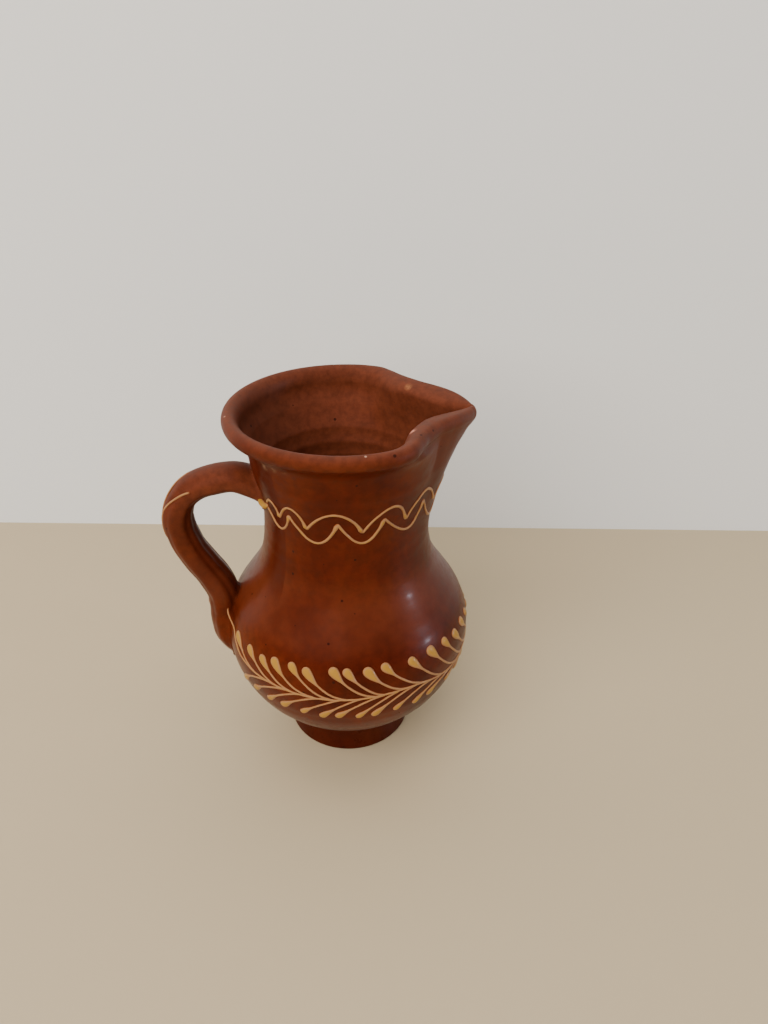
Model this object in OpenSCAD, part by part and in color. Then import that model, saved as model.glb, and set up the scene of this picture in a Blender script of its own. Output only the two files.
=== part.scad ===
/* [Pot] */
// Height to the top of the rim; everything scales with it
height = 150; // [100:1:240]
// Wall thickness of the thrown pot
wall = 4.5; // [3.5:0.5:5.5]
// Thickness of the floor inside the foot
floor_t = 8; // [6:0.5:10]
// Half the thickness of the rolled lip
lip_half = 3; // [2:0.25:3.5]
// How far the spout tip sits below the rim
tip_drop = 3.5; // [0:0.5:5]

/* [Handle] */
// Width of the pulled handle at its middle
strap_w = 14.4; // [11:0.2:18]
// Thickness of the pulled handle
strap_t = 10.4; // [8:0.2:12]
// Turn of the handle away from straight opposite the spout
handle_turn = 3; // [-8:1:8]

/* [Slip trailing] */
// Width of the trailed lines
line_w = 1.5; // [1:0.1:2.2]
// Height that the trailed lines stand above the glaze
line_h = 0.7; // [0.3:0.1:1.2]
// Degrees between two leaves of the upper row
upper_pitch = 9.4; // [8:0.2:14]
// Degrees between two leaves of the lower row
lower_pitch = 8.8; // [8:0.2:14]
// Width of the blob that starts an upper leaf
upper_blob = 3.9; // [2.5:0.1:4.6]
// Width of the blob that starts a lower leaf
lower_blob = 3.1; // [2:0.1:4]

/* [Hidden] */
$fn = 96;
s_all = height / 150;
lift = 0.03;
clay = "#6e3223";
slip = "#d0a06a";

// outside of the pot, [height, radius], foot to neck
POT = [[9.5, 24.3], [12, 25.2], [15.2, 28.6], [21.3, 34.7], [27.4, 40.3],
    [33, 44.2], [38.5, 46.9], [46, 49.1], [54, 50], [60, 49.4], [66, 47.4],
    [71, 44.5], [76, 41.1], [81, 37.8], [87, 34.7], [92, 33.3], [97, 32.5],
    [103, 32], [108, 31.8], [113, 32], [119, 32.8], [124, 34.1], [129, 35.2],
    [134, 36], [138, 37], [141, 38.6], [143, 40.6], [144.6, 42.9]];
// the same at the spout tip and at the pinch each side of it
TIP = [[99, 32.3], [102, 32.5], [107, 33.2], [114, 35.0], [122, 38.0],
    [128, 40.8], [132, 42.9], [139, 46.6], [142, 48.1], [144, 48.8]];
PINCH = [[99, 32.3], [108, 31.6], [118, 32.8], [129, 34.7], [136, 35.7],
    [141, 36.4], [144.6, 37.2]];
// rim round the spout: [angle from the spout, radius, lip width]
RIM = [[-4, 47.2, 6], [0, 49, 4], [4, 47.2, 6.4], [9, 45, 10], [16, 42.5, 11.4],
    [23, 40.1, 10.6], [33, 37.8, 9], [46, 38.2, 8.4], [55, 40.6, 8], [63, 43, 7.4],
    [72, 44, 6.6], [84, 44, 6], [180, 44, 6]];
split_z = 99;
sector = 72;

// centre of the handle, [distance from the axis, height]
GRIP = [[28, 114.2], [33, 117.6], [41.5, 121.9], [50.6, 121.3],
    [57.6, 118.2], [62, 113.2], [64.2, 107.2], [64.1, 100.8], [62, 93.4],
    [58.2, 85.6], [54.4, 78.2], [51.6, 71], [51.2, 64.5], [51.4, 58.5],
    [50.4, 52.5], [47.8, 47], [43.6, 42]];
// handle width as a share of strap_w, one for each GRIP point
GRIP_W = [1.4, 1.24, 1.06, 1, 1, 1, 1, 1, 1, 1.02, 1.06, 1.14, 1.26,
    1.4, 1.42, 1.3, 0.9];

// smooth curve through a table of [x, y, ...] rows, column c
function seg(L, x, i = 0) =
    (i >= len(L) - 2 || x < L[i + 1][0]) ? i : seg(L, x, i + 1);
function grad(L, i, c) =
    let (a = max(i - 1, 0), b = min(i + 1, len(L) - 1))
    (L[b][c] - L[a][c]) / (L[b][0] - L[a][0]);
function herm(L, x, c = 1) =
    let (i = seg(L, x), h = L[i + 1][0] - L[i][0],
        t = min(max((x - L[i][0]) / h, 0), 1),
        m0 = grad(L, i, c) * h, m1 = grad(L, i + 1, c) * h)
    L[i][c] * (2 * t * t * t - 3 * t * t + 1) + m0 * (t * t * t - 2 * t * t + t)
    + L[i + 1][c] * (3 * t * t - 2 * t * t * t) + m1 * (t * t * t - t * t);
// smooth curve through evenly numbered points
function at(L, u) =
    let (n = len(L) - 1, i = min(max(floor(u), 0), n - 1), t = u - i,
        p0 = L[max(i - 1, 0)], p1 = L[i], p2 = L[i + 1], p3 = L[min(i + 2, n)])
    0.5 * (2 * p1 + (p2 - p0) * t + (2 * p0 - 5 * p1 + 4 * p2 - p3) * t * t
    + (3 * p1 - 3 * p2 + p3 - p0) * t * t * t);
function ease(t) = let (q = min(max(t, 0), 1)) q * q * (3 - 2 * q);
function unit(v) = v / norm(v);

// outside radius at height z, angle a from the spout
function share_tip(z, a) =
    let (rim = (herm(RIM, a) - 37.8) / 11.2, low = pow(cos(min(a * 2, 90)), 2),
        q = ease((z - 112) / 26))
    a < 33 ? max(low * (1 - q) + rim * q, 0) : low * (1 - q);
function share_round(a) = ease((a - 34) / 30);
function pot_r(z, a) =
    z <= split_z || a >= 66 ? herm(POT, z)
    : let (t = share_tip(z, a), o = share_round(a), q = 1 - share_tip(z, a) * (1 - o) - o)
    t * (1 - o) * herm(TIP, z) + o * herm(POT, z) + q * herm(PINCH, z);
function rim_z(a) = 150 - tip_drop * pow(max(1 - a / 40, 0), 1.8);
// closed section of the wall above split_z, [radius, height]
function rim_section(a) =
    let (w = herm(RIM, a, 2) / 2 * lip_half / 3, top = rim_z(a), ro = herm(RIM, a),
        c = [ro - w, top - lip_half], z0 = c[1] - lip_half * sin(48),
        zi = c[1] - lip_half * sin(18))
    concat(
        [for (i = [0:13]) let (z = split_z + (z0 - split_z) * i / 14)
            [pot_r(z, a), z]],
        [for (i = [0:10]) let (q = -48 + i * 24.6)
            c + [w * cos(q), lip_half * sin(q)]],
        [for (i = [1:13]) let (z = zi - (zi - split_z) * i / 13,
            q = ease((z - 112) / 34))
            [(pot_r(z, a) - wall) * (1 - q) + (c[0] - w) * q
            - (i < 13 ? 0.7 * sin(180 * q) : 0), z]]);
function ring_pt(p, a) = [p[0] * cos(a), p[0] * sin(a), p[1]];

function foot_edge() = [[25.2, 0], [26.1, 0.9], [25.7, 3], [24.9, 6]];
pot_z = concat([for (z = [9.5:1.5:33]) z], [for (z = [36:3:96]) z], [split_z]);
outer_low = concat(foot_edge(), [for (z = pot_z) [herm(POT, z), z]]);
inner_low = [for (i = [len(pot_z) - 1:-1:0]) let (z = pot_z[i])
    if (z > floor_t + 8) [herm(POT, z) - wall * (z < 33 ? 1.25 : 1), z]];

// thrown foot, belly and shoulder
module pot_foot_and_belly() {
    color(clay)
        scale(s_all)
            rotate_extrude()
                polygon(concat([[0, 0]], outer_low, inner_low,
                    [[17, floor_t + 1.6], [10, floor_t], [0, floor_t]]));
}
// thrown neck with the rolled lip, pinched and pulled out to the spout
module pot_neck_and_spout() {
    angles = concat([for (a = [-sector:3:sector - 3]) a],
        [for (a = [sector:6:360 - sector - 6]) a]);
    rows = [for (a = angles)
        [for (p = rim_section(min(abs(a), 360 - abs(a)))) ring_pt(p, a)]];
    n = len(rows[0]);
    m = len(rows);
    color(clay)
        scale(s_all)
            polyhedron(
                points = [for (r = rows) for (p = r) p],
                faces = [for (i = [0:m - 1]) for (j = [0:n - 1])
                    let (k = (j + 1) % n, q = (i + 1) % m)
                    each [[i * n + j, i * n + k, q * n + k],
                        [i * n + j, q * n + k, q * n + j]]]);
}

// closed tube through rings of points
module tube(rings) {
    n = len(rings[0]);
    m = len(rings);
    polyhedron(
        points = [for (r = rings) for (p = r) p],
        faces = concat(
            [for (i = [0:m - 2]) for (j = [0:n - 1]) let (k = (j + 1) % n)
                each [[i * n + j, (i + 1) * n + k, i * n + k],
                    [i * n + j, (i + 1) * n + j, (i + 1) * n + k]]],
            [[for (j = [0:n - 1]) j]],
            [[for (j = [n - 1:-1:0]) (m - 1) * n + j]]));
}

// frame on the handle at u: centre, outward normal, both in the handle plane
function grip_c(u) = let (p = at(GRIP, u)) [-p[0], 0, p[1]];
function grip_t(u) = unit(grip_c(u + 0.02) - grip_c(u - 0.02));
function grip_n(u) = let (t = grip_t(u)) [t[2], 0, -t[0]];
function grip_w(u) = at(GRIP_W, u) * strap_w;
// point on the handle at section angle q, 0 on its back, 90 on the -Y side
function grip_pt(u, q) = grip_c(u)
    + grip_n(u) * cos(q) * strap_t / 2
    + [0, -1, 0] * sin(q) * grip_w(u) / 2;
function grip_up(u, q) = unit(grip_n(u) * cos(q) / strap_t
    + [0, -1, 0] * sin(q) / grip_w(u));
grip_end = len(GRIP) - 1.02;
module handle() {
    color(clay)
        scale(s_all)
            difference() {
                rotate([0, 0, -handle_turn])
                    tube([for (i = [0:44]) let (u = 0.02 + i * (grip_end - 0.02) / 44)
                        [for (q = [0:20:340]) grip_pt(u, q)]]);
                rotate_extrude()
                    polygon(concat([[0, 20]],
                        [for (z = pot_z) if (z > 26) [herm(POT, z), z]],
                        [for (z = [103:3:135]) [herm(POT, z), z]], [[0, 135]]));
            }
}

// a point on the pot, phi from -Y toward +X, and the outward normal there
function skin(phi, z) =
    let (a = abs(phi - 90), r = pot_r(z, min(a, 360 - a)) + lift)
    [r * sin(phi), -r * cos(phi), z];
function skin_n(phi, z) =
    let (d = pot_r(z + 0.5, 180) - pot_r(z - 0.5, 180))
    unit([sin(phi), -cos(phi), -d]);
// bead of slip along path points [phi, z, width, height]
function bead(P) = [for (i = [0:len(P) - 1])
    let (p = skin(P[i][0], P[i][1]), up = skin_n(P[i][0], P[i][1]),
        a = P[max(i - 1, 0)], b = P[min(i + 1, len(P) - 1)],
        go = unit(skin(b[0], b[1]) - skin(a[0], a[1])), side = cross(up, go),
        w = P[i][2] / 2, h = P[i][3])
    [p + side * w, p + side * w * 0.62 + up * h * 0.8, p + up * h,
        p - side * w * 0.62 + up * h * 0.8, p - side * w]];
module pot_bead(P) {
    tube(bead(P));
}

// small hand wobble, different at each i
function hand(i, size) = size * sin(i * 137.5 + 40);

// where the scallops of each neck line meet, in degrees from the -Y side
CUSPS_UP = concat([-66, -53, -32, 3, 34, 66], [for (a = [97:30.5:250]) a]);
CUSPS_LOW = concat([-66, -44, -12, 17, 51], [for (a = [82:28:250]) a]);
// one scallop from a to b; rise above zero arches up, below zero hangs down
module scallop(a, b, z, rise) {
    pot_bead([for (i = [0:12]) let (t = 0.03 + 0.94 * i / 12)
        [a + (b - a) * t, z + rise * pow(sin(180 * t), 0.75),
        line_w * (1 + 0.4 * pow(abs(2 * t - 1), 6)), line_h]]);
}
module neck_line_upper() {
    color(slip)
        scale(s_all)
            for (i = [0:len(CUSPS_UP) - 2])
                scallop(CUSPS_UP[i], CUSPS_UP[i + 1], 115.3, 8.6 + hand(i, 0.9));
}
module neck_line_lower() {
    color(slip)
        scale(s_all)
            for (i = [0:len(CUSPS_LOW) - 2])
                scallop(CUSPS_LOW[i], CUSPS_LOW[i + 1], 119.8, -8.9 + hand(i + 3, 0.7));
}
module neck_start_blob() {
    color(slip)
        scale(s_all)
            pot_bead([for (t = [0:0.125:1])
                [-76 + 9.6 * t, 112.5 + 3 * t, 1 + 3.4 * sin(20 + 150 * t),
                0.4 + line_h * sin(180 * t)]]);
}

garland_z = 54.2;
garland_from = -70;
garland_to = 248;
module garland_stem() {
    color(slip)
        scale(s_all)
            pot_bead([for (p = [garland_from:3:garland_to])
                [p, garland_z + hand(p / 50, 0.5) + 5 * pow(max((-45 - p) / 20, 0), 1.5),
                line_w * 0.9, line_h * 0.9]]);
}
// one leaf: a blob at the row height, thinning to a tail that joins the stem
module leaf(phi, z0, drop, reach, blob) {
    pot_bead([for (t = [0, 0.05, 0.15, 0.28, 0.42, 0.57, 0.72, 0.86, 0.98])
        [phi + (t - 0.06) * reach, z0 - drop * (1 - pow(1 - t, 1.75)),
        t == 0 ? blob * 0.45 : blob * (t < 0.1 ? 0.85 : 1 - 0.8 * ease((t - 0.1) / 0.75)),
        t == 0 ? 0.25 : line_h * (t < 0.3 ? 1.5 : 1.1)]]);
}
// where the leaves of each row start, in degrees from the -Y side
UPPER = concat([-69, -57, -48, -41, -32, -25, -13, -7, 2, 10, 23, 34, 44, 53],
    [for (a = [63:upper_pitch:garland_to - 14]) a + hand(a, 0.9)]);
LOWER = concat([-63, -54, -45, -37, -27, -18, -11, -2, 5, 15, 25, 33, 46],
    [for (a = [55:lower_pitch:garland_to - 16]) a + hand(a, 0.9)]);
module garland_leaves_upper() {
    color(slip)
        scale(s_all)
            for (i = [0:len(UPPER) - 1])
                leaf(UPPER[i], garland_z + 10.4 + hand(i + 2, 0.7), 9.6 + hand(i + 2, 0.7),
                    min(18, garland_to - 1 - UPPER[i]), upper_blob + hand(i, 0.3));
}
module garland_leaves_lower() {
    color(slip)
        scale(s_all)
            for (i = [0:len(LOWER) - 1])
                leaf(LOWER[i], garland_z - 10.7 + hand(i, 0.7), -9.8 + hand(i, 0.7),
                    min(19, garland_to - 1 - LOWER[i]), lower_blob + hand(i, 0.3));
}

// bead of slip along the back of the handle, points [u, section angle]
function grip_bead(P) = [for (i = [0:len(P) - 1])
    let (p = grip_pt(P[i][0], P[i][1]) + lift * grip_up(P[i][0], P[i][1]),
        up = grip_up(P[i][0], P[i][1]),
        a = P[max(i - 1, 0)], b = P[min(i + 1, len(P) - 1)],
        go = unit(grip_pt(b[0], b[1]) - grip_pt(a[0], a[1])),
        side = cross(up, go), w = line_w / 2)
    [p + side * w, p + side * w * 0.62 + up * line_h * 0.8, p + up * line_h,
        p - side * w * 0.62 + up * line_h * 0.8, p - side * w]];
module grip_stroke(from, to, swing, start) {
    color(slip)
        scale(s_all)
            rotate([0, 0, -handle_turn])
                tube(grip_bead([for (i = [0:26]) let (t = i / 26)
                    [from + (to - from) * t, swing * cos(start + 400 * t)]]));
}
module handle_slip_cross_a() {
    grip_stroke(4, 11.4, 52, 20);
}
module handle_slip_cross_b() {
    grip_stroke(3.7, 11.2, -50, 35);
}

pot_foot_and_belly();
pot_neck_and_spout();
handle();
neck_line_upper();
neck_line_lower();
neck_start_blob();
garland_stem();
garland_leaves_upper();
garland_leaves_lower();
handle_slip_cross_a();
handle_slip_cross_b();
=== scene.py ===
"""Looks of a hand-thrown earthenware pitcher with trailed slip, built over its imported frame."""

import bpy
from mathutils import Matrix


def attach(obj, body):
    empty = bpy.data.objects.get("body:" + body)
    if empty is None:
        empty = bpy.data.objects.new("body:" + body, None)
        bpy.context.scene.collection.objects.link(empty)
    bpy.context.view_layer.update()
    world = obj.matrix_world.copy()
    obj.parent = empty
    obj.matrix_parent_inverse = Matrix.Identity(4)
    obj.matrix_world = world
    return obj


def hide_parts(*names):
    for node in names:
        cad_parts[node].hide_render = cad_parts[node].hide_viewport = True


bl_info = {
    "name": "Slip-trailed pitcher",
    "version": (1, 0, 0),
    "blender": (4, 5, 0),
    "location": "View3D > Sidebar > Pitcher",
    "description": "Thrown pot, pulled handle and trailed slip of a glazed earthenware pitcher",
    "category": "Add Mesh",
}

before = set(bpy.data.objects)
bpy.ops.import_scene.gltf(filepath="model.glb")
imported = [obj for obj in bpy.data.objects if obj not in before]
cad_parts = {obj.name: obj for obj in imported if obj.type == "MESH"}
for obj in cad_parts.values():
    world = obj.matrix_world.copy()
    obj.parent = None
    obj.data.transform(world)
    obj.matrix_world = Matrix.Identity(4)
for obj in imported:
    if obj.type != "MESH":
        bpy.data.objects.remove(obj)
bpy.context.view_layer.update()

import math

import bpy
import numpy as np
from bpy.props import FloatProperty, FloatVectorProperty, PointerProperty
from mathutils import Matrix, Vector

MM = 0.001

# Thrown outline: height and outside radius in mm, foot to neck.
WALL = ((1.0, 26.2), (3.2, 25.7), (6.2, 24.8), (9.5, 24.3), (12, 25.2), (15.2, 28.6), (21.3, 34.7),
        (27.4, 40.3), (33, 44.2), (38.5, 46.9), (46, 49.1), (54, 50), (60, 49.4), (66, 47.4),
        (71, 44.5), (76, 41.1), (81, 37.8), (87, 34.7), (92, 33.3), (97, 32.5), (103, 32),
        (108, 31.8), (113, 32), (119, 32.8), (124, 34.1), (129, 35.2), (134, 36), (138, 37),
        (141, 38.6), (143, 40.6), (144.6, 42.9))
# The same up the middle of the spout, and up the pinch on each side of it.
SPOUT_TIP = ((99, 32.3), (102, 32.5), (107, 33.2), (114, 35.0), (122, 38.2), (128, 41.2),
             (132, 43.4), (139, 47.2), (142, 48.6), (144, 49.2))
PINCH = ((99, 32.3), (108, 31.6), (118, 32.8), (129, 34.7), (136, 35.7), (141, 36.4), (144.6, 37.2))
# Rim seen from above: angle from the spout, outside radius, width of the lip.
RIM = ((-4, 47.9, 6), (0, 49.6, 4), (4, 47.9, 6.4), (9, 45.6, 10), (16, 42.8, 11.6), (23, 40.2, 10.8),
       (33, 37.6, 9.2), (46, 37.4, 9.0), (55, 39.4, 8.8), (63, 42.2, 8.3), (72, 43.8, 7.2), (84, 44, 6.2),
       (180, 44, 6))
# How much further the far side of the spout was pressed out.
FAR_SIDE = ((-4, 0), (0, 0), (5, 1.3), (11, 2.4), (19, 2.4), (28, 1.7), (40, 1.5), (50, 1.9), (60, 1.7),
            (70, 0.3), (84, 0), (180, 0))
# The spout starts at SPLIT_Z. A column at the rim is all pinch at PINCH_RADIUS and all tip TIP_REACH further out.
SPLIT_Z = 99
PINCH_RADIUS = 37.8
TIP_REACH = 11.8
# Top of the rim, half the height of the rolled lip, and the floor inside at its middle.
TOP_Z = 149.9
LIP_HALF = 3
WELL_Z = 8.7
# Heights of the ridges between the finger channels inside.
FINGER_RIDGES = (8, 20, 28, 36, 44, 52, 60, 67, 73.5, 79.8, 86, 92, 97.8, 103.6, 109.3, 115, 120.6, 126.3, 134.8)
# Handle centre line in its own plane: distance from the pot's axis, height, share of the width.
GRIP = ((28.6, 116.2, 1.40), (33, 119.0, 1.24), (41.5, 122.5, 1.06), (50.6, 121.3, 1), (57.6, 118.2, 1),
        (62, 113.2, 1), (64.2, 107.2, 1), (64.1, 100.8, 1), (62, 93.4, 1), (58.2, 85.6, 1.02),
        (54.4, 78.2, 1.06), (51.6, 71, 1.14), (51.2, 64.5, 1.26), (51.4, 58.5, 1.40),
        (50.4, 52.5, 1.42), (47.8, 47, 1.3), (44.4, 42.5, 0.95))
# Grooves pulled along each side of the handle: degrees from its back, width in degrees, share of the depth.
GROOVES = ((52, 13, 1), (128, 12, 1.2), (162, 9, 0.8))
# Clay of the handle that reaches into the pot's wall, in mm.
BURIED = 2.4
# Handle strokes: place down the handle, counted in rows of GRIP, and degrees round from its back.
STROKE_A = ((3.6, -12), (4.4, -1), (5.2, 9), (6.0, 22), (7.2, 6), (8.4, -36), (9.3, -6), (9.9, 4),
            (10.7, -12), (11.6, -34))
STROKE_B = ((3.8, 74), (4.4, 60), (5.2, 38), (5.9, 20), (6.6, 4), (7.6, -24), (8.3, -22), (9.2, -2),
            (10.2, -24), (11.2, -6), (11.9, 10))
# Garland: where its stem runs, in degrees from the -Y side and mm up.
STEM = ((-82, 67.6), (-78, 66), (-74, 63.4), (-70, 59.8), (-65, 57.2), (-58, 55.2), (-50, 54.3), (-20, 54.1),
        (10, 54.3), (24, 53.8), (34, 52), (46, 50), (58, 49.4), (75, 50.4), (95, 51.8), (120, 52.8),
        (160, 53.4), (200, 54.2), (230, 54), (250, 55.5))
# Angles of the front leaves above and below the stem, and heights of their drops by angle.
UPPER_LEAVES = (-69, -57, -48, -41, -32, -25, -13, -7, 2, 10, 23, 34, 44, 53)
LOWER_LEAVES = (-63, -54, -45, -37, -27, -18, -11, -2, 5, 15, 25, 33, 46)
LEAF_TOPS = ((-74, 64), (-57, 63.8), (-48, 64.4), (-41, 65.6), (-25, 66.2), (-7, 66.8), (23, 66.4), (36, 66.2),
             (46, 65.4), (62, 64.4), (72, 63.4), (82, 60.6), (94, 58.4), (200, 60), (226, 64), (250, 64))
LEAF_FEET = ((-80, 43.5), (255, 43.5))
# The leaves end short of the handle, at this angle.
LAST_LEAF = 248
# Neck scallops: angle and height where each begins, and how far it bows up or down.
UPPER_LINE = ((-66, 119.2, 4.6), (-53, 116.2, 7.6), (-32, 115.2, 8.8), (3, 114.8, 9.2), (34, 115.6, 8.6),
              (66, 115.2, 7.0), (97, 112.6, 6.0), (128, 113.6, 8.4), (158, 115, 9.2), (189, 115.4, 8.8),
              (220, 115, 8.2), (251, 117, 0))
LOWER_LINE = ((-66, 117.6, -7.2), (-44, 119.6, -9.4), (-12, 119.8, -9.2), (17, 120, -8.9), (51, 120.2, -9.6),
              (82, 116.6, -8), (110, 116.4, -7.6), (138, 118.4, -8.6), (166, 120.2, -9.2), (195, 119.6, -8.8),
              (224, 120, -8.6), (251, 118, 0))
# Marks on the glaze, and one painted highlight: colour, nearest and furthest edge of the mark in mm, the
# limits of the body's mottle that break it up, how strong it is at each, and where it lies. A chip inside
# the lip by the spout, a worn spot across from it, a painted highlight under the rim on the handle side,
# and two pale dots on the lip.
MARKS = (("#d9907a", 0.9, 2.2, 0.40, 0.52, 0.0, 1.0, ((20.9, -23.7, 147.6),)),
         ("#9a6440", 0.4, 2.1, 0.36, 0.58, 0.1, 0.75, ((26.8, 17.0, 147.9),)),
         # painted highlight under the rim on the handle side
         ("#8d7158", 0.3, 2.6, 0.44, 0.56, 0.0, 0.5,
          ((-29.8, -22.0, 138.5), (-27.5, -25.8, 139.3), (-24.5, -29.8, 140.2))),
         ("#b98f7a", 0.1, 0.6, 0.0, 1.0, 1.0, 1.0, ((1.6, -42.0, 149.8), (-42.1, -4.0, 149.3))))


def ease(t):
    """Slow start and slow stop between 0 and 1: 3t squared minus 2t cubed."""
    t = np.clip(t, 0, 1)
    return t * t * (3 - 2 * t)


def through(table, x, column=1):
    """Smooth curve through a table: a cubic in each span, whose slope at a row is that of the chord
    between the rows on each side."""
    rows = np.asarray(table, float)
    xs, ys = rows[:, 0], rows[:, column]
    n = len(xs)
    lo, hi = np.maximum(np.arange(n) - 1, 0), np.minimum(np.arange(n) + 1, n - 1)
    slope = (ys[hi] - ys[lo]) / (xs[hi] - xs[lo])
    x = np.asarray(x, float)
    i = np.clip(np.searchsorted(xs, x, side="right") - 1, 0, n - 2)
    h = xs[i + 1] - xs[i]
    t = np.clip((x - xs[i]) / h, 0, 1)
    return (ys[i] * (2 * t**3 - 3 * t**2 + 1) + slope[i] * h * (t**3 - 2 * t**2 + t)
            + ys[i + 1] * (3 * t**2 - 2 * t**3) + slope[i + 1] * h * (t**3 - t**2))


def along(points, u):
    """Smooth path through evenly numbered points, u counting from 0 at the first."""
    p = np.asarray(points, float)
    u = np.asarray(u, float)
    n = len(p) - 1
    i = np.clip(np.floor(u).astype(int), 0, n - 1)
    t = (u - i)[:, None]
    a, b, c, d = p[np.maximum(i - 1, 0)], p[i], p[i + 1], p[np.minimum(i + 2, n)]
    return 0.5 * (2 * b + (c - a) * t + (2 * a - 5 * b + 4 * c - d) * t**2 + (3 * b - 3 * c + d - a) * t**3)


def from_spout(phi):
    """Degrees away from the spout, 0 to 180, for phi counted from the -Y side toward +X."""
    return np.abs((np.asarray(phi, float) - 90 + 180) % 360 - 180)


def rim_radius(phi):
    """Outside radius of the rim in mm; phi past 90 is the far side of the spout."""
    a = from_spout(phi)
    return through(RIM, a) + np.where(np.asarray(phi) % 360 > 90, through(FAR_SIDE, a), 0)


def thrown_radius(z, phi):
    """Outside radius in mm before the hand's traces: a mix of spout tip, round wall and pinch. Low down, the
    tip's share is the squared cosine of twice the angle from the spout; at the rim it follows the rim's own
    outline. The round wall's share grows from 34 to 64 degrees, and the pinch has the rest."""
    z, a = np.broadcast_arrays(np.asarray(z, float), from_spout(phi))
    q = ease((z - 112) / 26)
    rim = (rim_radius(phi) + 0 * z - PINCH_RADIUS) / TIP_REACH
    low = np.cos(np.radians(np.minimum(2 * a, 90))) ** 2
    tip = np.maximum(low * (1 - q) + rim * q * ease((46 - a) / 14), 0)
    side = ease((a - 34) / 30)
    tip = tip * (1 - side)
    shaped = tip * through(SPOUT_TIP, z) + side * through(WALL, z) + (1 - tip - side) * through(PINCH, z)
    return np.where((z <= SPLIT_Z) | (a >= 66), through(WALL, z), shaped)


def hand_trace(z, phi):
    """What the potter's fingers left outside, in mm: slow unroundness and faint turning ridges 4 to 6 mm apart."""
    f = np.radians(phi)
    slow = 0.16 * np.cos(2 * f + 0.7) + 0.07 * np.sin(3 * f + z * 0.03)
    ridge = (0.035 * np.sin(z * 2 * np.pi / 6.1 + 0.5 * np.sin(f))
             + 0.025 * np.sin(z * 2 * np.pi / 4.3 + 0.8 * np.cos(f)))
    return slow * ease((z - 8) / 20) + ridge * ease((z - 14) / 10) * ease((140 - z) / 8) - 0.1


def pot_radius(z, phi):
    """Outside radius of the fired pot in mm."""
    return thrown_radius(z, phi) + hand_trace(np.asarray(z, float), np.asarray(phi, float))


def on_pot(phi, z, lift=0.0):
    """Points on the pot in mm, moved out by lift along the surface normal, and the normals.
    The normal is the radial direction less the slopes of the radius up the pot and round it."""
    r = pot_radius(z, phi)
    dz = (pot_radius(z + 0.4, phi) - pot_radius(z - 0.4, phi)) / 0.8
    da = (pot_radius(z, phi + 0.8) - pot_radius(z, phi - 0.8)) / np.radians(1.6) / r
    f = np.radians(phi)
    out = np.stack([np.sin(f), -np.cos(f), 0 * f], -1)
    run = np.stack([np.cos(f), np.sin(f), 0 * f], -1)
    n = out - da[..., None] * run
    n[..., 2] -= dz
    n /= np.linalg.norm(n, axis=-1, keepdims=True)
    p = out * r[..., None]
    p[..., 2] = z
    return p + n * np.asarray(lift)[..., None], n


def grid_faces(rows, cols, first=0):
    """Quads of a rows by cols grid whose columns close round, numbered from first."""
    i, j = np.meshgrid(np.arange(rows - 1), np.arange(cols), indexing="ij")
    k = (j + 1) % cols
    corners = [i * cols + j, i * cols + k, (i + 1) * cols + k, (i + 1) * cols + j]
    return first + np.stack(corners, -1).reshape(-1, 4)


def mesh_piece(name, points_mm, quads, fans, attributes=None):
    """A closed mesh piece from points in mm, quads, and fans of (centre index, ring indices)."""
    faces = quads.tolist()
    for centre, ring in fans:
        nxt = np.roll(ring, -1)
        faces += np.stack([np.full(len(ring), centre), ring, nxt], -1).tolist()
    mesh = bpy.data.meshes.new(name)
    mesh.from_pydata((np.asarray(points_mm) * MM).tolist(), [], faces)
    for key, values in (attributes or {}).items():
        layer = mesh.attributes.new(key, "FLOAT", "POINT")
        layer.data.foreach_set("value", np.asarray(values, np.float32).ravel())
    mesh.shade_smooth()
    mesh.validate()
    piece = bpy.data.objects.new(name, mesh)
    bpy.context.scene.collection.objects.link(piece)
    return piece


def finish_piece(piece, material, slot, *nodes):
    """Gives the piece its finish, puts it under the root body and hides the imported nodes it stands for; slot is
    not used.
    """
    piece.data.materials.append(material)
    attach(piece, "root")
    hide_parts(*nodes)


def srgb(code):
    """Linear red, green, blue and alpha of a #rrggbb colour."""
    c = [int(code[i:i + 2], 16) / 255 for i in (1, 3, 5)]
    return tuple(v / 12.92 if v <= 0.04045 else ((v + 0.055) / 1.055) ** 2.4 for v in c) + (1.0,)


def add(tree, kind, inputs=(), out=0, stops=(), **settings):
    """Adds one shader node and returns its output named or numbered out. Inputs, a row or a dictionary, are
    other nodes' outputs or plain values; settings are the node's own options; stops fill a colour ramp."""
    node = tree.nodes.new("ShaderNode" + kind)
    for key, value in settings.items():
        setattr(node, key, value)
    for key, value in inputs.items() if isinstance(inputs, dict) else enumerate(inputs):
        if isinstance(value, bpy.types.NodeSocket):
            tree.links.new(value, node.inputs[key])
        else:
            node.inputs[key].default_value = value
    for _ in stops[2:]:
        node.color_ramp.elements.new(0.5)
    for element, (place, colour) in zip(node.color_ramp.elements if stops else (), stops):
        element.position = place
        element.color = colour
    return node.outputs[out]


def new_material(name):
    material = bpy.data.materials.new(name)
    material.use_nodes = True
    tree = material.node_tree
    return material, tree, tree.nodes["Principled BSDF"]


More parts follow.
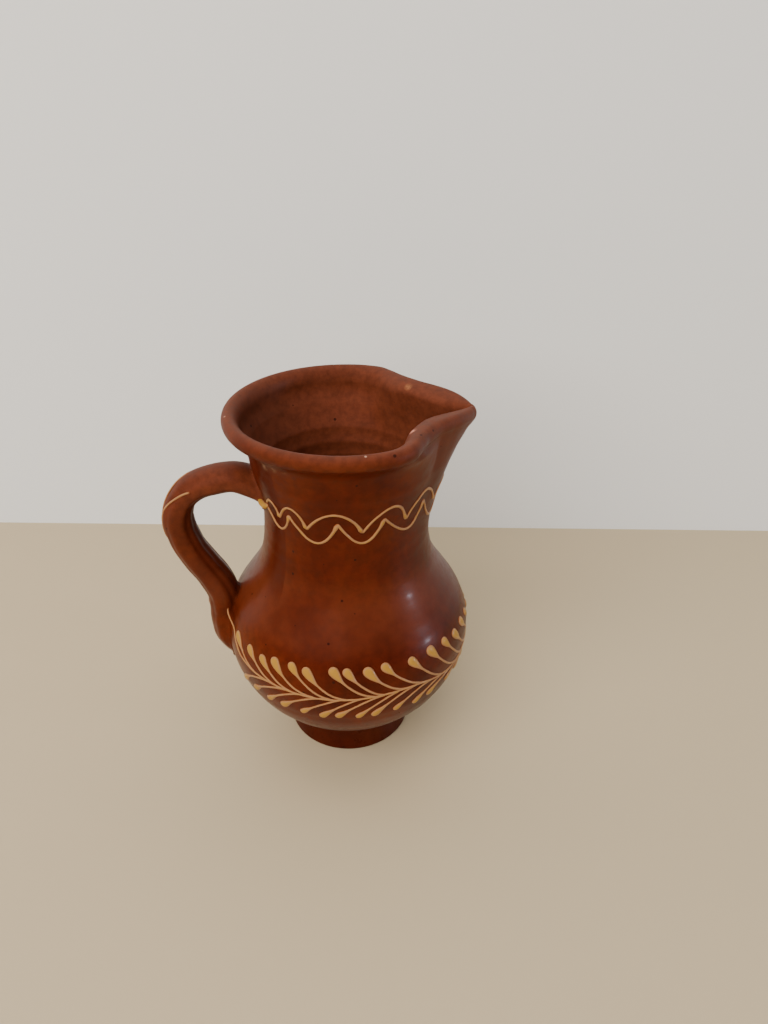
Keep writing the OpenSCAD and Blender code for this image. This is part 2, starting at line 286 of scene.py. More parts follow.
def lead_glazed_redware():
    """Red earthenware under a clear honey lead glaze, fired in a wood kiln.
    The iron-red body shows through the glaze, darker where it pooled and drier and browner on the
    thin rim and inside, where its paler purple-brown is also a painted sheen; a painted sheen on the shoulder
    and a painted dark reflection down the neck; fine iron specks and pinholes, soft orange peel from the melt."""
    name = "lead_glazed_redware"
    if name in bpy.data.materials:
        return bpy.data.materials[name]
    look = bpy.context.scene.pitcher_glaze
    material, tree, shader = new_material(name)
    smooth = {"interpolation_type": "SMOOTHSTEP"}
    times, plus, minus = ({"operation": word} for word in ("MULTIPLY", "ADD", "SUBTRACT"))
    place = add(tree, "TexCoord", out="Object")
    xyz = add(tree, "SeparateXYZ", (place,)).node.outputs
    height = xyz["Z"]
    # how dry the glaze is; the same mask carries a painted sheen on the lip, inside and on the handle top
    bare_and_sheen = add(tree, "Attribute", out="Fac", attribute_name="dry_and_sheen")
    # clouds of glaze thickness about 25 mm across, and 3 mm mottling from the body's grain
    cloud = add(tree, "TexNoise", {"Vector": place, "Scale": 40.0, "Detail": 3.0, "Roughness": 0.55}, "Fac")
    mottle = add(tree, "TexNoise", {"Vector": place, "Scale": 330.0, "Detail": 4.0, "Roughness": 0.65}, "Fac")
    glaze = add(tree, "ValToRGB", (cloud,), "Color",
                ((0.30, (*look.deep, 1)), (0.50, (*look.middle, 1)), (0.70, (*look.light, 1))))
    fine = add(tree, "ValToRGB", (mottle,), "Color",
               ((0.35, (0.82, 0.82, 0.82, 1)), (0.62, (1.15, 1.15, 1.15, 1))))
    multiplied = {"data_type": "RGBA", "blend_type": "MULTIPLY"}
    base = add(tree, "Mix", {0: 1.0, 6: glaze, 7: fine}, 2, **multiplied)
    rim = add(tree, "Mix", {0: 1.0, 6: fine, 7: (*look.rim, 1)}, 2, **multiplied)
    # rim and lip, inside and handle top: the glaze drained thin, so they are browner and drier; their paler
    # purple-brown is also a painted sheen for the light above reflected in the glaze
    dry_and_sheen = add(tree, "Math", (bare_and_sheen, add(tree, "MapRange", (cloud, 0.3, 0.6, 0.85, 1.1), **smooth)), **times)
    # painted sheen: the shoulder is mixed toward a purple brown where the light above would show in the glaze
    painted_shoulder_sheen = add(tree, "Math", (add(tree, "MapRange", (height, 0.066, 0.075, 0.0, 1.0), **smooth),
                              add(tree, "MapRange", (height, 0.082, 0.098, 0.5, 0.0), **smooth)), **times)
    painted_shoulder_sheen = add(tree, "Math", (painted_shoulder_sheen, add(tree, "MapRange", (cloud, 0.35, 0.6, 0.5, 1.0), **smooth)), **times)
    # painted reflection: a dark band down the neck, 50 to 65 degrees round toward the handle, its edge wandering,
    # stands in for the handle's dark reflection in the glaze
    behind = add(tree, "Math", (xyz["Y"], -1.0), **times)
    round_pot = add(tree, "Math", (xyz["X"], behind), operation="ARCTAN2")
    wander = add(tree, "Math", (add(tree, "Math", (cloud, 0.5), **minus), 0.06), **times)
    round_pot = add(tree, "Math", (round_pot, wander), **plus)
    run = add(tree, "MapRange", (round_pot, -1.16, -1.06, 0.0, 1.0), **smooth)
    for limit in (add(tree, "MapRange", (round_pot, -0.885, -0.865, 1.0, 0.0), **smooth),
                  add(tree, "MapRange", (height, 0.078, 0.090, 0.0, 1.0), **smooth),
                  add(tree, "Math", (1.0, bare_and_sheen), **minus), 0.55):
        run = add(tree, "Math", (run, limit), **times)
    # darker towards the bottom: strongest below 8 mm, gone by 16 mm
    foot = add(tree, "MapRange", (height, 0.008, 0.016, 0.55, 0.0), **smooth)
    # iron specks up to 0.6 mm across, one every 5 mm or so
    cell = add(tree, "TexVoronoi", {"Vector": place, "Scale": 180.0, "Randomness": 1.0}).node.outputs
    some = add(tree, "SeparateColor", (cell["Color"],))
    size = add(tree, "MapRange", (some, 0.40, 1.0, 0.0, 0.11), **smooth)
    speck = add(tree, "Math", (cell["Distance"], size), operation="LESS_THAN")
    # these layers hold painted light: a sheen on the shoulder and the handle's dark reflection down the neck; the
    # pale rim colour mixed in above is partly painted sheen
    layers = [(painted_shoulder_sheen, srgb("#62301f")), (dry_and_sheen, rim), (run, srgb("#3c0700")), (foot, srgb("#320801"))]
    for colour, inner, outer, low, high, least, most, spots in MARKS:
        for spot in spots:
            away = add(tree, "VectorMath", (place, [v * MM for v in spot]), "Value", operation="DISTANCE")
            close = add(tree, "MapRange", (away, inner * MM, outer * MM, 1.0, 0.0), **smooth)
            broken = add(tree, "MapRange", (mottle, low, high, least, most), **smooth)
            layers.append((add(tree, "Math", (close, broken), **times), srgb(colour)))
    layers.append((add(tree, "Math", (speck, 0.75), **times), srgb("#140604")))
    for share, colour in layers:
        base = add(tree, "Mix", {0: share, 6: base, 7: colour}, 2, data_type="RGBA")
    tree.links.new(base, shader.inputs["Base Color"])
    # satin where the glaze is thin, glossy where it lies thick low on the pot
    rough = add(tree, "MapRange", (height, 0.012, 0.142, look.gloss_low, look.gloss_high), **smooth)
    grain = add(tree, "MapRange", (mottle, 0.3, 0.7, -0.05, 0.05), **smooth)
    for more in (grain, add(tree, "Math", (dry_and_sheen, 0.12), **times)):
        rough = add(tree, "Math", (rough, more), **plus)
    tree.links.new(rough, shader.inputs["Roughness"])
    shader.inputs["IOR"].default_value = 1.5
    shader.inputs["Specular IOR Level"].default_value = 0.12
    # the skin of the glaze, worn off the lip and never thick inside
    skin = add(tree, "MapRange", (dry_and_sheen, 0.0, 0.5, look.skin, 0.0), **smooth)
    tree.links.new(skin, shader.inputs["Coat Weight"])
    shader.inputs["Coat Roughness"].default_value = 0.17
    shader.inputs["Coat IOR"].default_value = 1.5
    # orange peel of 1.2 mm, grit of 0.5 mm, turning lines 1 mm apart and pits at the specks
    peel = add(tree, "TexNoise", {"Vector": place, "Scale": 800.0, "Detail": 2.0}, "Fac")
    grit = add(tree, "TexNoise", {"Vector": place, "Scale": 2100.0, "Detail": 2.0, "Roughness": 0.7}, "Fac")
    squashed = add(tree, "Mapping", {"Vector": place, "Scale": (40.0, 40.0, 1000.0)})
    turned = add(tree, "TexNoise", {"Vector": squashed, "Scale": 1.0, "Detail": 2.0}, "Fac")
    relief = add(tree, "Math", (peel, 0.6), **times)
    for part, share, joined in ((grit, 0.35, plus), (turned, 0.5, plus), (speck, 0.5, minus)):
        relief = add(tree, "Math", (relief, add(tree, "Math", (part, share), **times)), **joined)
    bump = add(tree, "Bump", {"Strength": 0.24, "Distance": 0.00012, "Height": relief})
    tree.links.new(bump, shader.inputs["Normal"])
    return material


def trailed_slip():
    """Cream slip trailed through a fine spout and glazed over.
    Thin edges let the red body through and look pink-tan; the crown is cream, and where the slip is
    thickest the honey glaze turns it ochre."""
    name = "trailed_cream_slip"
    if name in bpy.data.materials:
        return bpy.data.materials[name]
    look = bpy.context.scene.pitcher_slip
    material, tree, shader = new_material(name)
    place = add(tree, "TexCoord", out="Object")
    thick = add(tree, "Attribute", out="Fac", attribute_name="thick")
    # unevenness of the slip about 2 mm across
    drift = add(tree, "TexNoise", {"Vector": place, "Scale": 420.0, "Detail": 3.0, "Roughness": 0.6}, "Fac")
    uneven = add(tree, "MapRange", (drift, 0.3, 0.7, -0.10, 0.10), interpolation_type="SMOOTHSTEP")
    depth = add(tree, "Math", (thick, uneven), operation="ADD")
    base = add(tree, "ValToRGB", (depth,), "Color",
               ((0.05, (*look.edge, 1)), (0.28, (*look.cream, 1)),
                (0.44, (*look.cream, 1)), (0.60, (*look.ochre, 1))))
    tree.links.new(base, shader.inputs["Base Color"])
    for key, value in (("Roughness", 0.36), ("IOR", 1.5), ("Specular IOR Level", 0.2),
                       ("Coat Weight", 0.12), ("Coat Roughness", 0.14)):
        shader.inputs[key].default_value = value
    bump = add(tree, "Bump", {"Strength": 0.3, "Distance": 0.0001, "Height": drift})
    tree.links.new(bump, shader.inputs["Normal"])
    return material


def bead_grid(centre, normal, width, height, sink=0.25, sides=12):
    """Bead of slip carried along a path: at each point a half-ellipse width across and height tall
    stands on the surface along the normal, and its foot is sunk into the glaze."""
    go = np.gradient(centre, axis=0)
    go /= np.linalg.norm(go, axis=1, keepdims=True)
    side = np.cross(normal, go)
    side /= np.linalg.norm(side, axis=1, keepdims=True)
    s = np.linspace(-1, 1, sides - 1)
    across = np.concatenate([s, [0.0]])
    crown = np.concatenate([np.clip(1 - s**2, 0, 1) ** 0.62, [0.0]])
    drop = np.concatenate([np.full(sides - 1, -0.3), [-1.0]]) * sink
    p = (centre[:, None] + side[:, None] * (across * 0.5)[None, :, None] * width[:, None, None]
         + normal[:, None] * (crown[None] * height[:, None] + drop[None])[..., None])
    thick = crown[None] * np.clip(height, 0, None)[:, None]
    return p, thick


def beads(name, grids):
    """One piece from many beads, each closed with a fan at both ends."""
    points, quads, fans, thick, first = [], [], [], [], 0
    for p, t in grids:
        rows, cols = p.shape[:2]
        quads.append(grid_faces(rows, cols, first)[:, ::-1])
        ring = np.arange(cols)
        count = rows * cols
        points += [p.reshape(-1, 3), p[0].mean(0)[None], p[-1].mean(0)[None]]
        thick += [t.ravel(), [t[0].mean()], [t[-1].mean()]]
        fans.append((first + count, first + ring))
        fans.append((first + count + 1, (first + (rows - 1) * cols + ring)[::-1]))
        first += count + 2
    points, quads, thick = (np.concatenate(rows) for rows in (points, quads, thick))
    return mesh_piece(name, points, quads, fans, {"thick": thick})


def wobble(i, size):
    """A small offset for the i-th stroke of the hand, the same on every run."""
    return size * math.sin(i * 2.399 + 0.7)


def round_ends(t, share):
    """0 at both ends of a stroke, 1 within: a quarter circle over share of its length."""
    e = np.clip(np.minimum(t, 1 - t) / share, 0, 1)
    return np.sqrt(np.clip(1 - (1 - e) ** 2, 0, 1))


LENGTH = {"subtype": "DISTANCE", "unit": "LENGTH"}
COLOUR = {"subtype": "COLOR", "size": 3}


class GlazeLook(bpy.types.PropertyGroup):
    """Glaze over the red body."""
    deep: FloatVectorProperty(name="Pooled glaze", description="Red-brown where the glaze lies thick",
                              default=srgb("#3f0f02")[:3], **COLOUR)
    middle: FloatVectorProperty(name="Glaze", description="Red-brown of most of the pot",
                                default=srgb("#4d1604")[:3], **COLOUR)
    light: FloatVectorProperty(name="Thin glaze", description="Orange-brown where the glaze lies thin",
                               default=srgb("#5a2007")[:3], **COLOUR)
    # painted sheen: this paler purple-brown also stands for the light above reflected on the lip, inside and on
    # the handle top
    rim: FloatVectorProperty(name="Rim", description="Dry brown of the drained rim",
                             default=srgb("#60301f")[:3], **COLOUR)
    gloss_low: FloatProperty(name="Roughness at the foot", description="Surface roughness low on the pot",
                             default=0.31, min=0.05, max=0.8)
    gloss_high: FloatProperty(name="Roughness at the rim", description="Surface roughness at the rim",
                              default=0.42, min=0.05, max=0.8)
    skin: FloatProperty(name="Glossy skin", description="How much of the glossy skin of the glaze is left",
                        default=0.07, min=0, max=1)


class PotShape(bpy.types.PropertyGroup):
    """Thrown pot."""
    wall: FloatProperty(name="Wall", description="Thickness of the thrown wall",
                        default=0.0045, min=0.0035, max=0.0055, **LENGTH)
    ring_depth: FloatProperty(name="Throwing rings", description="Depth of the finger rings inside",
                              default=0.00045, min=0, max=0.0012, **LENGTH)
    tip_drop: FloatProperty(name="Spout drop", description="How far the spout tip sits below the rim",
                            default=0.0035, min=0, max=0.006, **LENGTH)


class HandleShape(bpy.types.PropertyGroup):
    """Pulled handle."""
    width: FloatProperty(name="Width", description="Width at its middle",
                         default=0.0144, min=0.011, max=0.018, **LENGTH)
    thickness: FloatProperty(name="Thickness", description="Thickness at its middle",
                             default=0.0104, min=0.008, max=0.012, **LENGTH)
    turn: FloatProperty(name="Turn", description="Turn away from straight opposite the spout",
                        subtype="ANGLE", unit="ROTATION", default=math.radians(3))
    groove: FloatProperty(name="Groove", description="Depth of the grooves the fingers pulled along it",
                          default=0.00035, min=0, max=0.001, **LENGTH)


class SlipLook(bpy.types.PropertyGroup):
    """Trailed slip."""
    line_width: FloatProperty(name="Line width", description="Width of a trailed line",
                              default=0.0011, min=0.0008, max=0.0025, **LENGTH)
    line_height: FloatProperty(name="Line height", description="How far a line stands above the glaze",
                               default=0.00055, min=0.0002, max=0.0012, **LENGTH)
    blob: FloatProperty(name="Leaf blob", description="Width of the drop that starts a leaf",
                        default=0.0039, min=0.002, max=0.005, **LENGTH)
    edge: FloatVectorProperty(name="Edge", description="Pink-tan of the thin edge",
                              default=srgb("#83431f")[:3], **COLOUR)
    cream: FloatVectorProperty(name="Cream", description="Cream of the slip",
                               default=srgb("#a0744c")[:3], **COLOUR)
    ochre: FloatVectorProperty(name="Ochre", description="Ochre where the slip is thickest",
                               default=srgb("#a67a30")[:3], **COLOUR)


def pot_skin(wall, ring, drop):
    """Radius, height and dryness of the whole pot, which also sets its painted sheen, one row of each per
    station: under the foot, up the wall, over the lip and down inside. Inside, the channels left by the
    fingers are ring times the absolute sine of the way from one ridge to the next."""
    s = np.linspace(-1, 1, 301)[:-1]
    phi = 90 + 180 * np.sign(s) * np.abs(s) ** 1.3
    a = from_spout(phi)
    lip = through(RIM, a, 2)
    out_w = np.minimum(2.5, lip * 0.45)
    in_w = lip - out_w
    # the rim dips at the spout and, by under a millimetre, away from the -Y side
    top = TOP_Z - drop * np.clip(1 - a / 40, 0, 1) ** 1.8 - 0.45 * (1 - np.cos(np.radians(phi)))
    crest = rim_radius(phi) + hand_trace(np.full_like(phi, 144.0), phi) - out_w
    in_h = 3.2 + 2.6 * ease((a - 20) / 40)

    def column(values):
        return np.broadcast_to(np.asarray(values, float)[:, None], (len(values), len(phi)))

    # under the foot and round its edge
    q = np.radians(np.linspace(-90, 0, 7))[:-1]
    r = [column([6, 12, 18, 22.5, 24.6]), column(25.2 + np.cos(q))]
    z = [column([0, 0, 0, 0, 0]), column(1 + np.sin(q))]
    # up the wall to where the lip rolls out, bend being the angle where the two meet
    t = np.linspace(0, 1, 105)[:, None]
    bend = math.radians(-46)
    z_end, r_end = top - LIP_HALF + LIP_HALF * math.sin(bend), crest + out_w * math.cos(bend)
    zw = 1 + (z_end - 1) * t
    r.append(pot_radius(zw, phi[None]) + ease((zw - z_end + 3.5) / 3.5) * (r_end - pot_radius(z_end, phi)))
    z.append(zw)
    # over the lip: a quarter ellipse outside and another inside
    q = np.linspace(bend, np.pi / 2, 13)[1:, None]
    r.append(crest + out_w * np.cos(q))
    z.append(top - LIP_HALF + LIP_HALF * np.sin(q))
    q = np.linspace(np.pi / 2, np.pi, 14)[1:, None]
    r.append(crest + in_w * np.cos(q))
    z.append(top - in_h + in_h * np.sin(q))
    # down inside, closest together under the lip, and across the well
    t = np.linspace(0, 1, 171)[1:, None] ** 1.45
    z_in, r_in = top - in_h, crest - in_w
    zi = z_in + (17 - z_in) * t
    thick = wall * (1 + 0.25 * ease((36 - zi) / 14))
    blend = ease((zi - 120) / (z_in - 120)) ** 1.6
    turn = np.interp(zi + 0.5 * np.sin(np.radians(phi + 30)), FINGER_RIDGES, np.arange(len(FINGER_RIDGES)))
    fade = ease((z_in - zi) / 5) * ease((zi - 18) / 14) * ease((a - 12) / 50)
    channel = ring * np.abs(np.sin(np.pi * turn)) ** 0.8 * fade
    r.append((thrown_radius(zi, phi[None]) - thick) * (1 - blend) + r_in * blend + channel)
    z.append(zi)
    r.append(column([22.6, 20.5, 17.5, 14, 11, 8.5, 6, 4, 2]))
    z.append(column([14.2, 11.6, 9.7, 8.7, 8.3, 8.1, 8.25, 8.5, 8.65]))
    # how dry the glaze is, which also places the painted sheen: bare on top of the lip, thin inside and up the
    # flanks of the spout
    under, edge, wall_up, lip_out, lip_in, inside, well = (len(rows) for rows in r)
    dry_and_sheen = np.concatenate([np.zeros(under + edge + wall_up), np.linspace(0.1, 1, lip_out), np.ones(lip_in),
                          np.linspace(0.9, 0.6, inside), np.full(well, 0.5)])
    r, z = np.concatenate(r), np.concatenate(z)
    dry_and_sheen = np.maximum(dry_and_sheen[:, None], 0.7 * ease((z - 126) / 14) * ease((48 - a) / 24))
    return phi, r, z, dry_and_sheen


class ThrowPot(bpy.types.Operator):
    """Thrown pot: foot, belly, neck, rolled lip and pulled spout as one skin"""
    bl_idname = "pitcher.throw_pot"
    bl_label = "Thrown pot"

    def execute(self, context):
        shape = context.scene.pitcher_pot
        phi, r, z, dry_and_sheen = pot_skin(shape.wall / MM, shape.ring_depth / MM, shape.tip_drop / MM)
        f = np.radians(phi)
        points = np.stack([r * np.sin(f), -r * np.cos(f), z], -1)
        rows, cols = r.shape
        count = rows * cols
        points = np.concatenate([points.reshape(-1, 3), [[0, 0, 0], [0, 0, WELL_Z]]])
        dry_and_sheen = np.concatenate([dry_and_sheen.ravel(), [0, 0.5]])
        ring_ids = np.arange(cols)
        fans = [(count, ring_ids[::-1]), (count + 1, (rows - 1) * cols + ring_ids)]
        pot = mesh_piece("thrown_pot", points, grid_faces(rows, cols), fans, {"dry_and_sheen": dry_and_sheen})
        finish_piece(pot, lead_glazed_redware(), "red_glaze", "pot_foot_and_belly", "pot_neck_and_spout")
        return {"FINISHED"}


def handle_frame(u, turn):
    """Centre, outward normal and side direction of the handle at path values u, turned about the pot's axis."""
    path = np.asarray(GRIP)[:, :2]
    c, ahead, back = along(path, u), along(path, u + 0.02), along(path, u - 0.02)
    go = (ahead - back) * [-1, 1]
    go /= np.linalg.norm(go, axis=1, keepdims=True)
    zero = np.zeros(len(u))
    centre = np.stack([-c[:, 0], zero, c[:, 1]], -1)
    out = np.stack([go[:, 1], zero, -go[:, 0]], -1)
    side = np.broadcast_to([0.0, -1.0, 0.0], centre.shape)
    m = np.array(Matrix.Rotation(-turn, 3, "Z")).T
    return centre @ m, out @ m, side @ m


def handle_skin(u, q, turn):
    """Points and normals on the handle: an oval section, flatter and fuller inside the loop, less the
    GROOVES, each a bell curve of the angle round it. q is 0 on its back and 90 degrees on the -Y side."""
    shape = bpy.context.scene.pitcher_handle
    centre, out, side = handle_frame(u, turn)
    q = np.radians(q)
    half_w = along(GRIP, u)[:, 2] * shape.width / MM / 2
    half_t = np.full_like(half_w, shape.thickness / MM / 2)
    c, s = np.cos(q), np.sin(q)
    u = np.asarray(u, float)
    inner = 1 + 0.30 * ease((u - 4.5) / 2) + 0.12 * ease((u - 8) / 3)
    c = np.where(c < 0, -inner * np.abs(c) ** 0.7, np.abs(c))
    round_it = np.abs(np.degrees(q))
    dip = shape.groove / MM * sum(share * np.exp(-((round_it - at) / wide) ** 2) for at, wide, share in GROOVES)
    p = centre + out * ((half_t - dip) * c)[:, None] + side * ((half_w - dip) * s)[:, None]
    n = out * (c / half_t)[:, None] + side * (s / half_w)[:, None]
    n /= np.linalg.norm(n, axis=1, keepdims=True)
    return p, n


class PullHandle(bpy.types.Operator):
    """Pulled handle, luted on at the neck and thumbed down on the belly"""
    bl_idname = "pitcher.pull_handle"
    bl_label = "Pulled handle"

    def execute(self, context):
        turn = context.scene.pitcher_handle.turn
        rows, cols = 230, 72
        u = np.linspace(0.02, len(GRIP) - 1.03, rows)
        q = np.linspace(-180, 180, cols, endpoint=False)
        uu, qq = np.repeat(u, cols), np.tile(q, rows)
        p, n = handle_skin(uu, qq, turn)
        # slow unevenness of a tenth of a millimetre along the strap
        p = p + n * (0.10 * np.sin(uu * 2.3 + np.radians(qq)) + 0.05 * np.sin(uu * 5.1))[:, None]
        # clay smoothed into the pot: the skin leans out as it nears the wall
        flat = np.hypot(p[:, 0], p[:, 1])
        phi = np.degrees(np.arctan2(p[:, 0], -p[:, 1]))
        gap = flat - pot_radius(np.clip(p[:, 2], 2, 140), phi)
        reach = np.where(uu < 6, 1.2, 1.6)
        lean = reach - np.sqrt(np.clip(reach**2 - np.clip(reach - gap, 0, reach) ** 2, 0, None))
        p = p + n * lean[:, None]
        # what is inside the wall stays inside it, away from the hollow
        flat = np.hypot(p[:, 0], p[:, 1])
        phi = np.degrees(np.arctan2(p[:, 0], -p[:, 1]))
        least = pot_radius(np.clip(p[:, 2], 2, 140), phi) - BURIED
        push = np.where(flat < least, least / flat, 1.0)
        p[:, :2] *= push[:, None]
        grid = p.reshape(rows, cols, 3)
        count = rows * cols
        ring = np.arange(cols)
        points = np.concatenate([p, grid[0].mean(0)[None], grid[-1].mean(0)[None]])
        fans = [(count, ring), (count + 1, ((rows - 1) * cols + ring)[::-1])]
        # dry at the top like the rim and carrying the same painted sheen, glossy down toward the tail
        dry_and_sheen = np.concatenate([0.75 - 0.65 * ease((uu - 3) / 8), [0.5, 0]])
        handle = mesh_piece("pulled_handle", points, grid_faces(rows, cols)[:, ::-1], fans, {"dry_and_sheen": dry_and_sheen})
        finish_piece(handle, lead_glazed_redware(), "red_glaze", "handle")
        return {"FINISHED"}


def pot_bead(phi, z, width, height):
    """Bead of slip over the pot along angles phi and heights z."""
    p, n = on_pot(phi, z)
    return bead_grid(p, n, width, height)


class TrailNeck(bpy.types.Operator):
    """Two interlaced trailed lines round the neck, and the drop they start from"""
    bl_idname = "pitcher.trail_neck"
    bl_label = "Neck scallops"

    def execute(self, context):
        slip = context.scene.pitcher_slip
        w, h = slip.line_width / MM, slip.line_height / MM
        t = np.linspace(0, 1, 52)
        for name, node, line in (("neck_scallops_upper", "neck_line_upper", UPPER_LINE),
                                 ("neck_scallops_lower", "neck_line_lower", LOWER_LINE)):
            grids = []
            for i, ((a0, z0, bow), (a1, z1, _)) in enumerate(zip(line[:-1], line[1:])):
                phi = a0 + (a1 - a0) * t + wobble(i, 1.0) * np.sin(np.pi * t)
                z = z0 + (z1 - z0) * t + bow * np.sin(np.pi * t ** 1.22) ** 0.72
                heavy = 1 + 0.75 * np.exp(-((1 - t) / 0.055) ** 2) + 0.10 * np.sin(7 * t + i)
                ends = round_ends(t, 0.03)
                height = h * (0.9 + 0.4 * (heavy - 1)) * ends
                grids.append(pot_bead(phi, z, w * heavy * (0.25 + 0.75 * ends), height))
            finish_piece(beads(name, grids), trailed_slip(), "cream_slip", node)
        t = np.linspace(0, 1, 24)
        arch = np.sin(np.pi * t)
        width = (0.9 + 2.3 * arch) * (0.3 + 0.7 * round_ends(t, 0.15))
        height = (2.6 - 1.6 * t) * round_ends(t, 0.4)
        piece = beads("neck_start_drop", [pot_bead(-80 + 15 * t, 117.6 - 1.6 * arch + 0.8 * t, width, height)])
        finish_piece(piece, trailed_slip(), "cream_slip", "neck_start_blob")
        return {"FINISHED"}


def leaf_bead(phi0, z_drop, reach, blob, tail, h, i):
    """One leaf: a round drop that thins into a tail. Its height nears the stem as the remaining share
    of its length to the power 1.75; its width follows the distance trailed, in mm."""
    t = np.concatenate([np.linspace(0, 0.3, 26)[:-1], np.linspace(0.3, 1, 24)])
    phi = phi0 - 1.8 + (reach + 1.8) * t
    stem = through(STEM, phi)
    z = stem + (z_drop - stem) * (1 - t) ** (1.75 + wobble(i, 0.15))
    p, n = on_pot(phi, z)
    run = np.concatenate([[0], np.cumsum(np.linalg.norm(np.diff(p, axis=0), axis=1))])
    nose = blob * 0.52
    head = 1 - ease((run - nose) / (6.4 + wobble(i + 3, 1.0)))
    front = np.sqrt(np.clip(1 - np.clip(1 - run / nose, 0, 1) ** 2, 0, 1))
    end = np.clip((run[-1] - run) / 1.2, 0, 1) ** 0.5
    width = (tail + (blob - tail) * head) * np.maximum(front, 0.05) * (0.35 + 0.65 * end)
    height = h * (0.75 + 0.65 * head) * np.maximum(front, 0.02) * (0.1 + 0.9 * end)
    return bead_grid(p, n, width, height)


class TrailGarland(bpy.types.Operator):
    """Garland round the belly: a stem with a row of leaves above and below"""
    bl_idname = "pitcher.trail_garland"
    bl_label = "Belly garland"

    def execute(self, context):
        slip = context.scene.pitcher_slip
        w, h, blob = slip.line_width / MM, slip.line_height / MM, slip.blob / MM
        t = np.linspace(0, 1, 700)
        phi = -81.5 + 329.5 * t
        # its first 8 degrees stand off the pot, on the tail of the handle
        lift = 3.0 * ease((-72.5 - phi) / 8)
        p, n = on_pot(phi, through(STEM, phi) + 0.25 * np.sin(phi * 0.11), lift)
        grid = bead_grid(p, n, w * (0.8 + 0.1 * np.sin(phi * 0.7)), h * 0.9 * round_ends(t, 0.004))
        finish_piece(beads("garland_stem_trail", [grid]), trailed_slip(), "cream_slip", "garland_stem")
        # piece, node, front leaves, then the angle and step of the rest, drop heights, reach and drop width
        rows = (("garland_leaves_above", "garland_leaves_upper", UPPER_LEAVES, 62.5, 9.4, LEAF_TOPS, 18, blob),
                ("garland_leaves_below", "garland_leaves_lower", LOWER_LEAVES, 55.0, 8.8, LEAF_FEET, 19,
                 blob * 0.8))
        for name, node, front, start, pitch, ends, reach, size in rows:
            grids = []
            for i, phi in enumerate([*front, *(p + wobble(p, 0.9) for p in np.arange(start, 234, pitch))]):
                z_drop = float(through(ends, phi)) + wobble(i + 2, 0.4)
                length = min(reach + wobble(i + 5, 1.5), LAST_LEAF - phi)
                grids.append(leaf_bead(phi, z_drop, length, size + wobble(i, 0.3), w * 0.9, h, i))
            finish_piece(beads(name, grids), trailed_slip(), "cream_slip", node)
        return {"FINISHED"}


class TrailHandle(bpy.types.Operator):
    """Two trailed strokes that cross and recross down the back of the handle"""
    bl_idname = "pitcher.trail_handle"
    bl_label = "Handle strokes"

    def execute(self, context):
        slip = context.scene.pitcher_slip
        turn = context.scene.pitcher_handle.turn
        w, h = slip.line_width / MM, slip.line_height / MM
        for name, node, table in (("handle_stroke_a", "handle_slip_cross_a", STROKE_A),
                                  ("handle_stroke_b", "handle_slip_cross_b", STROKE_B)):
            t = np.linspace(0, 1, 160)
            u = table[0][0] + (table[-1][0] - table[0][0]) * t
            p, n = handle_skin(u, through(table, u), turn)
            grid = bead_grid(p, n, w * (0.72 + 0.10 * np.sin(9 * t)), 0.8 * h * round_ends(t, 0.02))
            finish_piece(beads(name, [grid]), trailed_slip(), "cream_slip", node)
        return {"FINISHED"}


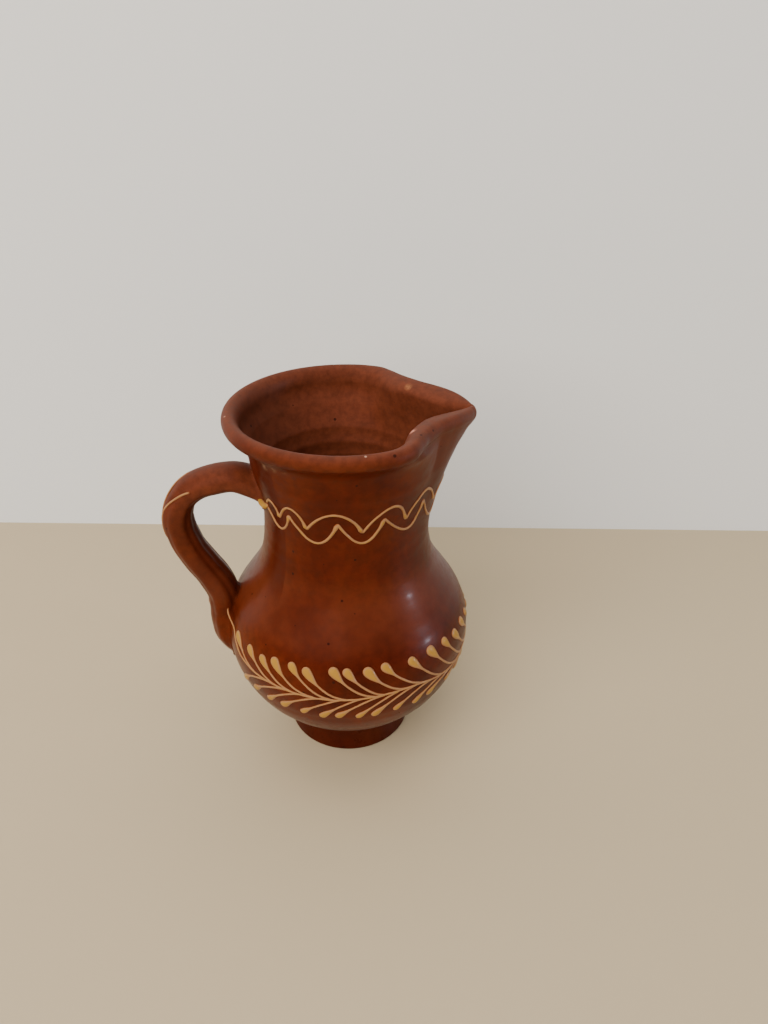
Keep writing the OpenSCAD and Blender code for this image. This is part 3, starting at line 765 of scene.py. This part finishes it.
class SetStage(bpy.types.Operator):
    """Plain pale floor and wall, a soft studio light and the camera"""
    bl_idname = "pitcher.set_stage"
    bl_label = "Stage"

    def execute(self, context):
        scene = context.scene
        heading, pitch, roll = math.radians(9.87), math.radians(31.46), math.radians(0.63)
        eye = Vector((-0.0282, -0.2477, 0.2568))
        aim = (Matrix.Rotation(-heading, 4, "Z") @ Matrix.Rotation(math.pi / 2 - pitch, 4, "X")
               @ Matrix.Rotation(roll, 4, "Z"))
        lens = bpy.data.cameras.new("phone_camera")
        lens.sensor_width = 36
        lens.lens = 26.3671875
        lens.clip_start = 0.01
        camera = bpy.data.objects.new("camera", lens)
        camera.matrix_world = Matrix.Translation(eye) @ aim
        scene.collection.objects.link(camera)
        scene.camera = camera
        ahead = Vector((math.sin(heading), math.cos(heading), 0))
        right = Vector((math.cos(heading), -math.sin(heading), 0))
        # the floor meets the wall 402 mm in front of the camera
        seam = Vector((eye.x, eye.y, 0)) + ahead * 0.402
        left, width = seam - right * 2.5, right * 5
        for name, corner, up, finish, colour, roughness in (
                ("studio_floor", left - ahead * 2.5, ahead * 2.5, "pale_table", "#bcab8c", 0.55),
                ("studio_wall", left, Vector((0, 0, 2.4)), "pale_wall", "#eef0f0", 0.7)):
            material, _, shader = new_material(finish)
            shader.inputs["Base Color"].default_value = srgb(colour)
            shader.inputs["Roughness"].default_value = roughness
            mesh = bpy.data.meshes.new(name)
            mesh.from_pydata([corner, corner + width, corner + width + up, corner + up], [], [(0, 1, 2, 3)])
            mesh.materials.append(material)
            plane = bpy.data.objects.new(name, mesh)
            scene.collection.objects.link(plane)
        # every lamp looks at the middle of the belly
        target = Vector((0, 0, 0.07))
        for name, place, size, watts, colour in (
                ("softbox", (-0.80, -0.97, 1.05), (1.8, 1.5), 40, "#fff8f0"),
                ("overhead", (0.0, 0.1, 1.9), (1.6, 1.6), 14, "#fffaf4"),
                ("window", (1.46, -0.59, 0.23), (0.10, 0.10), 5.5, "#e8eeff")):
            lamp = bpy.data.lights.new(name, "AREA")
            lamp.shape = "ELLIPSE"
            lamp.size, lamp.size_y = size
            lamp.energy = watts
            lamp.color = srgb(colour)[:3]
            light = bpy.data.objects.new(name, lamp)
            turned = (target - Vector(place)).to_track_quat("-Z", "Y").to_matrix().to_4x4()
            light.matrix_world = Matrix.Translation(Vector(place)) @ turned
            # the softbox lights the clay and leaves no oval in the glaze
            light.visible_glossy = name != "softbox"
            scene.collection.objects.link(light)
        world = bpy.data.worlds.new("soft_room")
        world.use_nodes = True
        sky = world.node_tree.nodes["Background"]
        sky.inputs["Color"].default_value = srgb("#dcdad6")
        sky.inputs["Strength"].default_value = 0.32
        scene.world = world
        return {"FINISHED"}


OPERATORS = (ThrowPot, PullHandle, TrailNeck, TrailGarland, TrailHandle, SetStage)


class PitcherPanel(bpy.types.Panel):
    """Pieces of the pitcher"""
    bl_idname = "PITCHER_PT_pieces"
    bl_label = "Pitcher"
    bl_space_type = "VIEW_3D"
    bl_region_type = "UI"
    bl_category = "Pitcher"

    def draw(self, context):
        layout = self.layout
        for name, _ in GROUPS:
            settings = getattr(context.scene, name)
            box = layout.box()
            for key in settings.__annotations__:
                box.prop(settings, key)
        for operator in OPERATORS:
            layout.operator(operator.bl_idname)


GROUPS = (("pitcher_pot", PotShape), ("pitcher_handle", HandleShape), ("pitcher_slip", SlipLook),
          ("pitcher_glaze", GlazeLook))


def register():
    for _, group in GROUPS:
        bpy.utils.register_class(group)
    for name, group in GROUPS:
        setattr(bpy.types.Scene, name, PointerProperty(type=group))
    for kind in OPERATORS + (PitcherPanel,):
        bpy.utils.register_class(kind)


def unregister():
    for kind in (PitcherPanel,) + OPERATORS[::-1]:
        bpy.utils.unregister_class(kind)
    for name, group in GROUPS:
        delattr(bpy.types.Scene, name)
        bpy.utils.unregister_class(group)


def main():
    register()
    for operator in OPERATORS:
        group, name = operator.bl_idname.split(".")
        getattr(getattr(bpy.ops, group), name)()


if __name__ == "__main__":
    main()
